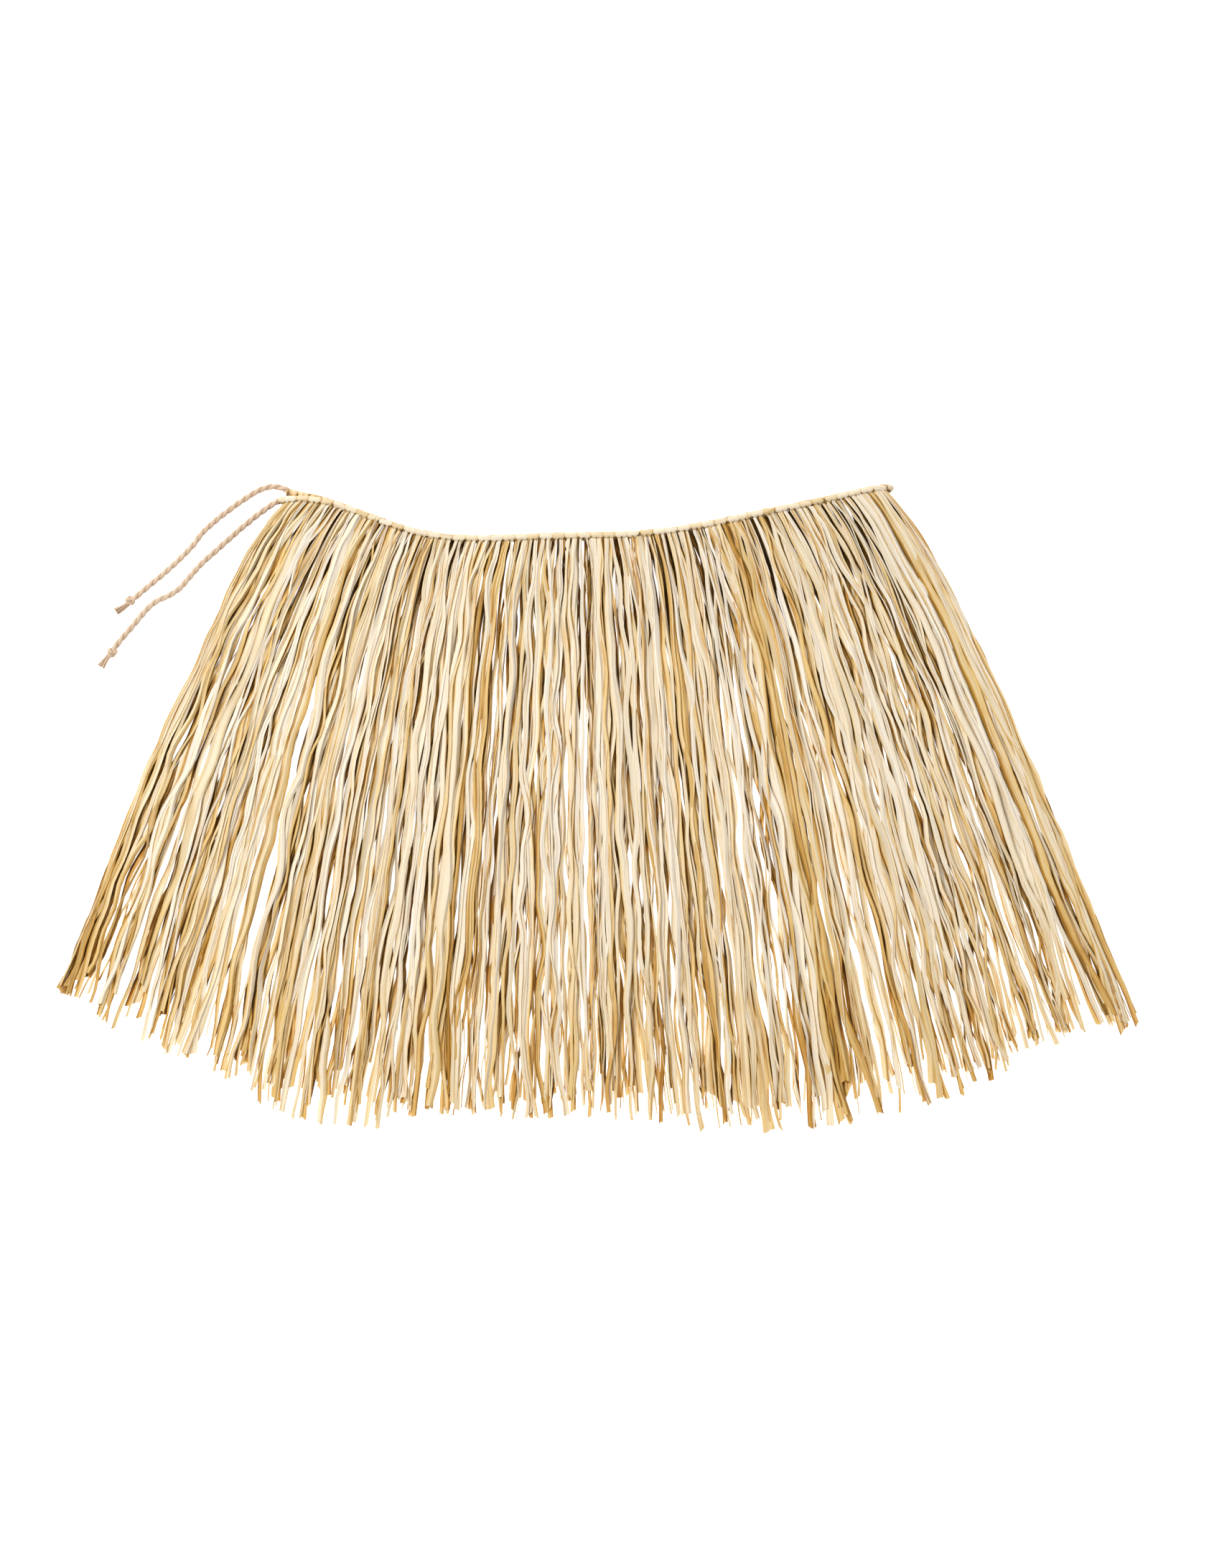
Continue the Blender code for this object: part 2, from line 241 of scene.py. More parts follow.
def spun_cord(name, light, middle, dark):
    """Matt fibre: the tone attribute is low on a ply's crown and high in the groove, as painted
    shade.
    """
    material, tree = new_material(name)
    fibre = grain(tree, FIBRE_WIDTH, FIBRE_LENGTH, 3.0)
    tone = maths(tree, "MULTIPLY_ADD", fibre, 0.7, own_tone(tree))
    tone = maths(tree, "SUBTRACT", tone, 0.3)
    bump = add_node(tree, "ShaderNodeBump", {
        "Height": fibre, "Strength": 0.6, "Distance": 0.2 * MM,
    })
    principled(tree, {
        "Base Color": ramp(tree, tone, ((0.0, light), (0.45, middle), (1.0, dark))),
        "Normal": bump.outputs["Normal"],
        "Roughness": 0.88,
        "IOR": 1.45,
        "Specular IOR Level": 0.25,
        "Sheen Weight": 0.25,
        "Sheen Roughness": 0.5,
    })
    return material


cord_fibre = spun_cord("spun_plant_fibre_cord", "#DEC8B1", "#BFA085", "#745233")
print("cord material", cord_fibre.name)


# %% [markdown]
# ## From arrays to meshes
# A ribbon, a ply and a wrap are all a ring of points carried along a line. With numpy a whole
# family of them is one array, (piece, station, ring point, xyz), and the quads between
# neighbouring rings follow from counting. Open ones get a strip of quads across each end, so
# that every piece is a closed skin.

# %% Rings to quads, quads to an object
def ring_quads(pieces, stations, ring, closed=False):
    """Point numbers of the quads of `pieces` tubes: each ring joined to the next one along."""
    steps = stations if closed else stations - 1
    piece, station, point = np.meshgrid(
        np.arange(pieces), np.arange(steps), np.arange(ring), indexing="ij"
    )
    start = piece * stations * ring
    here = start + station * ring
    ahead = start + (station + 1) % stations * ring
    beside = (point + 1) % ring
    quads = np.stack([here + point, here + beside, ahead + beside, ahead + point], -1)
    return quads.reshape(-1, 4)


def end_quads(pieces, stations, ring):
    """Quads that close both ends, across each ring from one half to the other. Rings are even."""
    half = ring // 2
    piece, point = np.meshgrid(np.arange(pieces), np.arange(half - 1), indexing="ij")
    caps = []
    for station in (0, stations - 1):
        base = (piece * stations + station) * ring
        near, far = base + point, base + ring - 1 - point
        cap = np.stack([near, far, far - 1, near + 1], -1)
        caps.append(cap if station == 0 else cap[..., ::-1])
    return np.concatenate([cap.reshape(-1, 4) for cap in caps])


def make_piece(name, surface, material, sharp, node):
    """A mesh from points, quads, UV and tone, which stands for one CAD node.

    Edges that bend by more than `sharp` degrees stay crisp. The printed volume, a sum of the
    pyramids from the origin to each quad, is positive where the faces point outwards.
    """
    points, quads, uv, tone = surface
    mesh = bpy.data.meshes.new(name)
    mesh.vertices.add(len(points))
    mesh.vertices.foreach_set("co", (points * MM).astype(np.float32).ravel())
    mesh.loops.add(quads.size)
    mesh.loops.foreach_set("vertex_index", quads.astype(np.int32).ravel())
    mesh.polygons.add(len(quads))
    mesh.polygons.foreach_set("loop_start", np.arange(len(quads), dtype=np.int32) * 4)
    mesh.update(calc_edges=True)
    uv_map = mesh.uv_layers.new(name="strip")
    uv_map.data.foreach_set("uv", uv[quads.ravel()].astype(np.float32).ravel())
    tones = mesh.attributes.new("tone", "FLOAT", "POINT")
    tones.data.foreach_set("value", tone.astype(np.float32).ravel())
    mesh.shade_smooth()
    mesh.set_sharp_from_angle(angle=math.radians(sharp))
    mesh.materials.append(material)
    obj = bpy.data.objects.new(name, mesh)
    bpy.context.scene.collection.objects.link(obj)
    a, b, c, d = (points[quads[:, corner]] for corner in range(4))
    volume = (a * (np.cross(b, c) + np.cross(c, d))).sum() / 6
    print(f"{name}: {2 * len(quads)} triangles, {volume / 1000:.2f} cm3")
    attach(obj, "root")
    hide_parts(node)
    return obj


# %% [markdown]
# ## Lines to follow
# A cord follows a Catmull-Rom curve, which passes through every point it is given. To lay
# plies round the line, each point also needs two directions across it, and these must not
# spin: each pair is the last pair, tipped over by as much as the line has turned.

# %% Smooth lines and steady frames
def smooth_line(knots, spacing):
    """Points about `spacing` apart on a Catmull-Rom curve through the knots."""
    knots = np.asarray(knots, float)
    knots = np.vstack([2 * knots[0] - knots[1], knots, 2 * knots[-1] - knots[-2]])
    t = np.linspace(0, 1, 24, endpoint=False)[None, :, None]
    a, b, c, d = (knots[i : len(knots) - 3 + i, None] for i in range(4))
    cubic = (3 * b - a - 3 * c + d) * t**3
    square = (2 * a - 5 * b + 4 * c - d) * t**2
    line = np.vstack([(0.5 * (2 * b + (c - a) * t + square + cubic)).reshape(-1, 3), knots[-2]])
    return respaced(line, spacing)


def respaced(line, spacing):
    """The same line with evenly spaced points."""
    run = run_of(line)
    even = np.linspace(0, run[-1], max(2, round(run[-1] / spacing) + 1))
    return np.column_stack([np.interp(even, run, axis) for axis in line.T])


def run_of(line):
    """Distance along a line, at each of its points."""
    return np.concatenate([[0], np.cumsum(np.linalg.norm(np.diff(line, axis=0), axis=1))])


def steady_frames(line):
    """Two unit directions across the line at each point, which turn as little as they can."""
    tangent = np.gradient(line, axis=0)
    tangent /= np.linalg.norm(tangent, axis=1)[:, None]
    side = np.array((0.0, 0.0, 1.0))
    sides = np.empty_like(line)
    for i, t in enumerate(tangent):
        side = side - t * side.dot(t)
        side /= np.linalg.norm(side)
        sides[i] = side
    return sides, np.cross(tangent, sides)


# %% [markdown]
# ## Plies
# Two plies wind round each other like a double stair. A ply's centre is at a fixed distance
# from the cord's line and turns once in each pitch, to the left here, so that its marks lean
# the way an S does. The plies are tight, and the groove between them gets painted shade.

# %% Winding plies round a line
PLIES = 2
PLY_PITCH = 12.5


def plied(line, radius, offset, seed, turn=0.0, sides=10):
    """Points, UV and tone of plies wound round a line: (ply, station, ring point, ...).

    A ply's centre is line + offset * (side * cos(a) + up * sin(a)), with a = turn - 2 pi run /
    pitch. Its ring is an ellipse, flatter towards the cord's line. Tone is high where the ring
    faces the cord's line: painted shade in the groove between the plies.
    """
    draw = np.random.default_rng(seed)
    run = run_of(line)
    side, up = steady_frames(line)
    start = 2 * np.pi * np.arange(PLIES) / PLIES + turn
    uneven = 0.35 * np.sin(run / 17 + draw.uniform(0, 6))
    uneven = uneven + 0.2 * np.sin(run / 7 + draw.uniform(0, 6))
    angle = start[:, None] - 2 * np.pi * run / PLY_PITCH + uneven
    out = side * np.cos(angle)[..., None] + up * np.sin(angle)[..., None]
    centre = line + offset * out
    ply_tangent = np.gradient(centre, axis=1)
    ply_tangent /= np.linalg.norm(ply_tangent, axis=2, keepdims=True)
    out = out - ply_tangent * (out * ply_tangent).sum(2, keepdims=True)
    out /= np.linalg.norm(out, axis=2, keepdims=True)
    beside = np.cross(ply_tangent, out)
    round_ply = 2 * np.pi * np.arange(sides) / sides
    swell = 1 + 0.05 * np.sin(run * 0.9 + draw.uniform(0, 6, (PLIES, 1)))
    size = (radius * swell)[..., None, None]
    ring = centre[:, :, None] + size * (
        0.94 * out[:, :, None] * np.cos(round_ply)[:, None]
        + 1.06 * beside[:, :, None] * np.sin(round_ply)[:, None]
    )
    tone = 0.46 * ((1 - np.cos(round_ply)) / 2) ** 1.3
    tone = np.broadcast_to(tone, ring.shape[:3]) + 0.06 * np.sin(run / 23)[None, :, None]
    across = np.broadcast_to(round_ply * radius, ring.shape[:3])
    along = np.broadcast_to(run[None, :, None], ring.shape[:3])
    shift = draw.uniform(0, 900, (PLIES, 1, 1))
    return ring, np.stack([across + shift, along + shift], -1), tone


def joined(parts, closed=False):
    """Families of tubes as one list of points, quads, UV and tone. Closed ones are hoops."""
    points, quads, uvs, tones, base = [], [], [], [], 0
    for ring, uv, tone in parts:
        n, stations, size = ring.shape[:3]
        faces = ring_quads(n, stations, size, closed)
        if not closed:
            faces = np.concatenate([faces, end_quads(n, stations, size)])
        points.append(ring.reshape(-1, 3))
        quads.append(faces + base)
        uvs.append(uv.reshape(-1, 2))
        tones.append(tone.reshape(-1))
        base += n * stations * size
    return np.vstack(points), np.vstack(quads), np.vstack(uvs), np.concatenate(tones)


# %% [markdown]
# ## The two ties
# Both free ends leave the left end of the waist and lie in loose curves. Their routes repeat
# the model's, in millimetres. Each comes down from its layer in a few points and then rests,
# a hair higher than in the model, because two plies are wider than a plain rod.

# %% Routes of the ties
TIE_PLY = (1.42, 0.88)  # a ply's radius, and how far it is from the cord's middle
REST_Z = 2.3  # half the cord at its widest, and a hair's clearance
CORD_SPACING = 0.9  # from one ring of a ply to the next


def resting(*places):
    """Points of a cord that lies on the surface."""
    return [(x, y, REST_Z) for x, y in places]


BACK_TIE_ROUTE = [(-212.3, 217.8, 2.9), (-217.0, 220.4, 2.6)] + resting(
    (-225.0, 222.0), (-234.0, 219.6), (-245.0, 213.0), (-257.0, 204.4),
    (-265.0, 198.0), (-273.6, 190.2), (-281.2, 180.4), (-292.0, 169.4),
    (-302.6, 160.0), (-313.4, 151.0), (-322.0, 143.6),
)
FRONT_TIE_ROUTE = [
    (-218.0, 212.0, 9.3), (-223.0, 209.8, 8.9), (-230.4, 205.2, 7.2),
    (-240.6, 197.8, 4.2), (-251.6, 188.8, 2.4),
] + resting(
    (-263.4, 178.2), (-275.2, 167.6), (-282.6, 159.2), (-290.4, 150.6),
    (-297.6, 145.8), (-305.0, 142.6), (-312.4, 136.8), (-319.2, 128.8),
    (-326.4, 120.4), (-332.2, 113.6), (-336.0, 108.6),
)
print("ties through", len(BACK_TIE_ROUTE), "and", len(FRONT_TIE_ROUTE), "points")

# %% [markdown]
# Each tie ends in an overhand knot. Its line is the open trefoil, with powers of one variable
# t. Along the cord it goes as t^5/5 - 2t, sideways as t^4 - 4t^2, and up and down as t^3 - 3t.
# Past the knot the plies have come undone, and the tail is a little brush of loose fibres.

# %% Knots, tails and ties
KNOT_ALONG, KNOT_ACROSS, KNOT_UP = 0.85, 0.8, 0.9  # millimetres for each unit of the formula
KNOT_END = 2.02  # value of t where the knot meets the cord
KNOT_RISE = 1.95  # of its middle, so that its lowest loop rests
KNOT_SHIFT = 1.5  # sideways, which centres its loops on the cord
KNOT_PLY = (1.3, 0.75)
TAIL_LENGTH = 11.0
TAIL_FIBRES = 26


def overhand(start, heading, lean):
    """The knot's line from `start` on, and the point where the tail leaves it."""
    along = np.array([*heading, 0.0])
    sideways = np.array([-heading[1], heading[0], 0.0]) * lean
    t = np.linspace(-KNOT_END, KNOT_END, 90)
    a = KNOT_ALONG * (t**5 / 5 - 2 * t)
    b = KNOT_ACROSS * (t**4 - 4 * t**2)
    c = KNOT_UP * (t**3 - 3 * t) * np.clip((KNOT_END - np.abs(t)) / 0.45, 0, 1)
    a = a - a[0]
    b = b - np.linspace(b[0], b[-1], len(b))
    half_wave = np.sin(np.pi * np.linspace(0, 1, len(t)))
    rise = KNOT_RISE * half_wave ** 0.5
    centring = KNOT_SHIFT * np.minimum(1, 2.2 * half_wave)
    middle = start + np.outer(a, along) + np.outer(b + centring, sideways)
    middle[:, 2] = REST_Z + rise + c
    return middle


def frayed_tail(start, heading, bend, seed):
    """Loose fibres from `start` on: each keeps its place in the section while that widens."""
    draw = np.random.default_rng(seed)
    stations, sides = 9, 6
    v = np.linspace(0, 1, stations)
    turn = bend * v
    forward = np.stack([
        heading[0] * np.cos(turn) - heading[1] * np.sin(turn),
        heading[0] * np.sin(turn) + heading[1] * np.cos(turn),
        0 * v,
    ], -1)
    middle = start + np.cumsum(forward, axis=0) * TAIL_LENGTH / stations
    middle[:, 2] = 2.0 - 0.25 * v
    sideways = np.stack([-forward[:, 1], forward[:, 0], 0 * v], -1)
    up = np.array([0, 0, 1.0])
    ring_place = draw.uniform(0, 2 * np.pi, (TAIL_FIBRES, 1))
    reach = np.sqrt(draw.uniform(0, 1, (TAIL_FIBRES, 1)))
    twist = ring_place - 0.7 * v
    half_width = 1.35 + 1.0 * v**1.2
    half_height = 1.25 + 0.15 * v
    own = draw.normal(0, 0.12, (TAIL_FIBRES, 1)) * v
    centre = middle + ((reach * np.cos(twist) + own) * half_width)[..., None] * sideways
    centre = centre + (reach * np.sin(twist) * half_height)[..., None] * up
    reach_on = draw.uniform(-0.5, 0.8, (TAIL_FIBRES, 1)) * v**3
    centre = centre + reach_on[..., None] * forward
    thick = (0.52 * draw.uniform(0.75, 1.2, (TAIL_FIBRES, 1)) * (1 - 0.15 * v))[..., None, None]
    round_fibre = 2 * np.pi * np.arange(sides) / sides
    ring = centre[:, :, None] + thick * (
        sideways[:, None] * np.cos(round_fibre)[:, None] + up * np.sin(round_fibre)[:, None]
    )
    ring[..., 2] = np.maximum(ring[..., 2], 0.15)
    tone = np.broadcast_to(draw.uniform(0, 0.45, (TAIL_FIBRES, 1, 1)), ring.shape[:3])
    along = np.broadcast_to((v * TAIL_LENGTH)[None, :, None], ring.shape[:3])
    across = np.broadcast_to(round_fibre * 0.5, ring.shape[:3])
    return ring, np.stack([across, along + draw.uniform(0, 300, (TAIL_FIBRES, 1, 1))], -1), tone


def tie_with_knot(side, route, lean, bend, seed):
    """A tie, its knot and its tail: two pieces, because the model has the knot on its own."""
    line = smooth_line(route, CORD_SPACING)
    heading = line[-1, :2] - line[-4, :2]
    heading = heading / np.linalg.norm(heading)
    knot_line = overhand(line[-1], heading, lean)
    plies = joined([plied(line, *TIE_PLY, seed)])
    tie = make_piece("tie_cord_" + side, plies, cord_fibre, 60, "tie_" + side)
    knot = plied(respaced(knot_line, 0.5), *KNOT_PLY, seed, turn=0.8)
    tail = frayed_tail(knot_line[-1] - np.array([*heading, 0]) * 0.8, heading, bend, seed + 1)
    knot = joined([knot, tail])
    knot_piece = make_piece("overhand_knot_" + side, knot, cord_fibre, 60, "knot_" + side)


tie_with_knot("back", BACK_TIE_ROUTE, 1.0, -0.25, 31)
tie_with_knot("front", FRONT_TIE_ROUTE, -1.0, 0.0, 37)


# %% [markdown]
# ## Where the waist and the hem are
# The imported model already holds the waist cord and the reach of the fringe, so both lines are
# read off its points: the waist as a smooth curve through the cord's points, the hem as the
# lowest point of the fringe in each stretch of its width.

# %% Read the waist and the hem off the model
WAIST_ORDER = 9  # of the polynomial through the cord
HEM_BINS = 25
CORD_RADIUS = 1.8


def model_points(node):
    """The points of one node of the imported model, in millimetres."""
    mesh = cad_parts[node].data
    points = np.empty(3 * len(mesh.vertices), np.float32)
    mesh.vertices.foreach_get("co", points)
    return points.reshape(-1, 3).astype(float) / MM


def box_mm(node):
    """Lowest and highest corner of a node, in millimetres."""
    return np.array(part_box(node)) / MM


cord_points = model_points("waist_cord")
cord_low, cord_high = box_mm("waist_cord")
waist_z = {"back": cord_low[2] + CORD_RADIUS, "front": cord_high[2] - CORD_RADIUS}
fold_x = box_mm("hitches_back")[1][0]


def waist_curve(side):
    """The centre of the waist cord in one layer: close points, left to right."""
    near = np.abs(cord_points[:, 2] - waist_z[side]) < CORD_RADIUS + 0.1
    found = cord_points[near & (cord_points[:, 0] < fold_x)]
    curve = np.polynomial.Polynomial.fit(found[:, 0], found[:, 1], WAIST_ORDER)
    x = np.linspace(found[:, 0].min() + 0.5, fold_x, 2000)
    return np.column_stack([x, curve(x), np.full(len(x), waist_z[side])])


def hem_curve(node):
    """The hem as lowest y against x, one value for each stretch of the width."""
    points = model_points(node)
    edges = np.linspace(points[:, 0].min(), points[:, 0].max(), HEM_BINS + 1)
    stretch = np.clip(np.digitize(points[:, 0], edges) - 1, 0, HEM_BINS - 1)
    lowest = np.full(HEM_BINS, np.inf)
    np.minimum.at(lowest, stretch, points[:, 1])
    return (edges[:-1] + edges[1:]) / 2, lowest


waist = {side: waist_curve(side) for side in ("back", "front")}
hem = {side: hem_curve("fringe_" + side) for side in ("back", "front")}
for side in waist:
    long, lowest = run_of(waist[side])[-1], hem[side][1].min()
    print(f"{side} waist {long:.0f} mm long, hem lowest at {lowest:.0f}")


def at_waist(side, share):
    """Points on the waist cord at shares of its length, and the unit vector down the skirt."""
    line = waist[side]
    run = run_of(line)
    wanted = np.asarray(share) * run[-1]
    point = np.stack([np.interp(wanted, run, axis) for axis in line.T], -1)
    steep = np.interp(wanted, run, np.gradient(line[:, 1], line[:, 0]))
    size = np.sqrt(1 + steep**2)
    return point, np.stack([steep / size, -1 / size, 0 * size], -1)


# %% [markdown]
# ## The waist cord and its hitches
# The waist cord runs along the back layer, round the fold and back along the front. A lark's
# head is a doubled hank whose bight, the loop at its middle, lies across the front, and whose
# two legs go up behind the cord, over it and down under the bight. So the eye sees a row of
# bulging wraps along the upper edge, the bights across them like knuckles, and small dark
# holes between one hitch and the next, where the legs are drawn together.

# %% One line through both layers
bend_heading = waist["front"][-1] - waist["front"][-3]
bend_heading /= np.linalg.norm(bend_heading)
bend_turn = np.linspace(-np.pi / 2, np.pi / 2, 13)[1:-1, None]
bend_radius = (waist_z["front"] - waist_z["back"]) / 2
bend_middle = (waist["back"][-1] + waist["front"][-1]) / 2
bend = bend_middle + bend_radius * (
    bend_heading * np.cos(bend_turn) + np.array((0, 0, 1)) * np.sin(bend_turn)
)
END_REACH = 3.5  # of the hitched part past the model's cord, towards the ties
end_step = {side: waist[side][0] - waist[side][9] for side in waist}
step_size = np.linalg.norm(end_step["back"])
end = {side: waist[side][0] + end_step[side] * END_REACH / step_size for side in waist}
whole_waist = respaced(np.vstack([
    end["back"], waist["back"], bend, waist["front"][::-1], end["front"],
]), CORD_SPACING)
waist_run = run_of(whole_waist)

WAIST_PLY = (0.98, 0.8)  # squeezed by the hitches
waist_plies = joined([plied(whole_waist, *WAIST_PLY, seed=41, sides=6)])
make_piece("waist_cord_plies", waist_plies, cord_fibre, 60, "waist_cord")
print("waist cord", round(waist_run[-1]), "mm through both layers")


# %% [markdown]
# A wrap is a ring round the cord, so its formula is in polar form: the angle goes once round,
# from the upper edge over the outside of the skirt to the hem side and back up behind. The
# ribbon's width lies along the cord. It bulges in the middle and narrows on the hem side,
# where the two wraps of a hitch lean together. A bight lies over them, on the outside, and its
# lower edge reaches down over the two legs.

# %% Wraps and bights
HITCHES = 49  # in each layer
WRAP_STATIONS = 14
WRAP_ACROSS = np.array([-1.0, -0.5, 0.15, 0.6, 1.0])
WRAP_WIDTH = 4.7
WRAP_RADIUS = 2.5
HANK = 0.3  # thickness of the raffia that a wrap or a bight is made of
BIGHT_STATIONS = 17
BIGHT_REACH = 4.5  # either side of its hitch's middle
LEG_PULL = 1.85  # how near its hitch's middle a leg is held
LAST_HITCH = 1.4  # from the end of the waist: the extra hitch by the tie
CLEAR = 0.1  # above the table
PRESSED_UNDER = 0.8  # height below which a hitch is pressed flat by its own weight


def cord_frame(place):
    """Point, direction to the hem and direction to the outside, at places along the waist."""
    tangent = np.gradient(whole_waist, axis=0)
    tangent /= np.linalg.norm(tangent, axis=1)[:, None]
    to_hem = np.column_stack([tangent[:, 1], -tangent[:, 0], 0 * tangent[:, 0]])
    half = len(to_hem) // 2
    to_hem[half:] *= -1
    steep = np.abs(tangent[:, 2]) > 0.02
    to_hem[steep] = at_waist("front", 1.0)[1]
    to_hem /= np.linalg.norm(to_hem, axis=1)[:, None]
    return [
        np.stack([np.interp(place, waist_run, axis) for axis in table.T], -1)
        for table in (whole_waist, to_hem, np.cross(tangent, to_hem))
    ]


def wraps(draw, centres, sides):
    """Closed rings round the cord: (wrap, station, ring point, ...). `sides` is -1 or 1 each."""
    count = len(centres)
    angle = np.linspace(0, 2 * np.pi, WRAP_STATIONS, endpoint=False)
    low = (1 - np.cos(angle)) / 2  # 0 at the upper edge, 1 on the hem side
    lean = draw.normal(0, 0.5, (count, 1)) * np.sin(angle) + sides[:, None] * (2.15 - 0.45 * low)
    half_width = 0.5 * WRAP_WIDTH * draw.uniform(0.88, 1.15, (count, 1)) * (1 - 0.5 * low**1.5)
    knuckle = 0.3 * np.exp(-(((np.degrees(angle) - 138) / 26) ** 2))
    s = WRAP_ACROSS
    crease = draw.normal(0, 0.16, (count, 1, len(s)))
    crease = crease + draw.normal(0, 0.05, (count, WRAP_STATIONS, len(s)))
    bulge = 0.42 * (1 - np.abs(s) ** 2.2) + crease * (1 - s**2)
    radius = WRAP_RADIUS + draw.normal(0, 0.06, (count, 1, 1)) + bulge
    radius = radius + knuckle[:, None] * (1 - s**2)
    radius = np.concatenate([radius, (radius - HANK)[..., ::-1]], axis=2)
    s = np.concatenate([s, s[::-1]])
    place = centres[:, None, None] + lean[..., None] + half_width[..., None] * s
    point, to_hem, outside = cord_frame(place)
    turn = angle[None, :, None, None]
    ring = point + radius[..., None] * (-to_hem * np.cos(turn) + outside * np.sin(turn))
    along = np.broadcast_to(angle[None, :, None] * WRAP_RADIUS, ring.shape[:3])
    along = along + draw.uniform(0, 900, (count, 1, 1))
    across = half_width[..., None] * s + draw.uniform(0, 300, (count, 1, 1))
    low = low[:, None]
    # Painted shade: darker towards the wrap's edges and on its hem side.
    tone = draw.normal(0.42, 0.1, (count, 1, 1)) + (0.16 + 0.3 * low) * np.abs(s) ** 3 + 0.2 * low
    return ring, np.stack([across, along], -1), np.broadcast_to(tone, ring.shape[:3])


def bights(draw, centres):
    """Arched ribbons across the hitches, on the outside.

    Each lies at a radius and at an angle round the cord. Its lower edge reaches further down
    over both legs of its hitch, by a bell curve round each, and draws back between them.
    """
    count = len(centres)
    t = np.linspace(-1, 1, BIGHT_STATIONS)[:, None]
    s = np.linspace(-1, 1, 6)
    lobes = np.exp(-(((np.abs(t) - LEG_PULL / BIGHT_REACH) / 0.25) ** 2))
    spread = np.where(s > 0, 26 + 44 * lobes, 36.0)
    middle = draw.normal(82, 3, (count, 1, 1)) + draw.normal(0, 9, (count, 1, 1)) * t
    angle = np.radians(middle + spread * s)
    arch = 3.2 - 0.3 * t**4 + 0.14 * (1 - s**2) - 0.45 * lobes * np.clip(s, 0, 1) ** 2
    arch = arch + draw.normal(0, 0.05, (count, 1, len(s)))
    radius = np.concatenate([arch, (arch - HANK)[..., ::-1]], axis=2)
    angle = np.concatenate([angle, angle[..., ::-1]], axis=2)
    place = centres[:, None, None] + BIGHT_REACH * t + 0 * angle
    point, to_hem, outside = cord_frame(place)
    turn = angle[..., None]
    ring = point + radius[..., None] * (-to_hem * np.cos(turn) + outside * np.sin(turn))
    both = np.concatenate([s, s[::-1]])
    across = 2.0 * both + draw.uniform(0, 300, (count, 1, 1)) + 0 * t
    along = BIGHT_REACH * t + draw.uniform(0, 900, (count, 1, 1)) + 0 * both
    # Painted shade: darker at both ends, where one bight meets the next, and along its lower edge
    # between the legs.
    tone = draw.normal(0.18, 0.11, (count, 1, 1)) + 0.3 * t**6
    tone = tone + 0.42 * (1 - lobes) * np.clip(both, 0, 1) ** 3
    tables = ring, np.stack([across, along], -1), np.broadcast_to(tone, ring.shape[:3])
    return [table[:, :, ::-1] for table in tables]  # turned round, so that the faces look out


def hitch_places(side):
    """Where the hitches of a layer stand, as distances along the whole waist."""
    share = (np.arange(HITCHES) + 0.5) / HITCHES
    own = run_of(waist[side])[-1]
    return END_REACH + share * own if side == "back" else waist_run[-1] - END_REACH - share * own


def hitch_row(side, seed):
    """A layer's wraps and bights as one mesh. The front's row goes on round the fold."""
    draw = np.random.default_rng(seed)
    centres = hitch_places(side)
    if side == "front":
        fold = (hitch_places("back")[-1] + centres[-1]) / 2
        centres = np.append(centres, fold)
    centres = np.append(centres, LAST_HITCH if side == "back" else waist_run[-1] - LAST_HITCH)
    centres = centres + draw.normal(0, 0.25, len(centres))
    sides = np.tile([-1.0, 1.0], len(centres))
    rings = joined([wraps(draw, np.repeat(centres, 2), sides)], closed=True)
    bars = joined([bights(draw, centres)])
    points, uv, tone = (np.concatenate([rings[part], bars[part]]) for part in (0, 2, 3))
    quads = np.vstack([rings[1], bars[1] + len(rings[0])])
    lowest = min(points[:, 2].min(), 0.0)
    pressed = CLEAR + (points[:, 2] - lowest) * (PRESSED_UNDER - CLEAR) / (PRESSED_UNDER - lowest)
    points[:, 2] = np.where(points[:, 2] < PRESSED_UNDER, pressed, points[:, 2])
    surface = points, quads, uv, np.clip(tone, 0, 1)
    make_piece("lark_heads_" + side, surface, hitch_raffia_shaded, 45, "hitches_" + side)
    print(f"  {len(centres)} hitches")


hitch_row("back", 51)
hitch_row("front", 53)


# %% [markdown]
# ## How one strip lies
# A strip starts at its hitch, fans out towards the hem and bows a little. On top of that it
# wanders: slow waves, and the small kinks it kept from being bundled. Across its width it is
# never flat: it has folds along its length, and in places it turns over. All of these are
# functions of the share v of its length, added up as arrays, a row for each strip.

# %% Waves, kinks and steps
def ease(x):
    """Smooth step: 3x^2 - 2x^3 between 0 and 1."""
    x = np.clip(x, 0, 1)
    return x * x * (3 - 2 * x)


def waves(draw, count, v, table):
    """A sum of sines for each strip. Table rows: waves along the strip, size."""
    total = np.zeros((count, len(v)))
    for turns, size in table:
        phase = draw.uniform(0, 2 * np.pi, (count, 1))
        rate = turns * draw.uniform(0.7, 1.3, (count, 1))
        strength = size * draw.normal(0, 1, (count, 1))
        total += strength * (np.sin(2 * np.pi * rate * v + phase) - np.sin(phase))
    return total


def kinks(draw, count, v, bends, size):
    """A zigzag for each strip: random offsets at `bends` places, joined by straight lines."""
    offsets = size * draw.normal(0, 1, (count, bends + 1))
    offsets[:, 0] = 0
    place = v * bends
    left = np.minimum(place.astype(int), bends - 1)
    part = place - left
    return offsets[:, left] * (1 - part) + offsets[:, left + 1] * part


# %% [markdown]
# The strip's middle line comes first. Its ideal line runs from the waist to the hem. The bow
# is a half sine that grows towards the two ends of the waist, and the flare is a bulge just
# under the waist, where the outer strips leave their hitches at a wider angle. The strips of
# a hank wander together, which makes the tufts and the slender gaps between them.

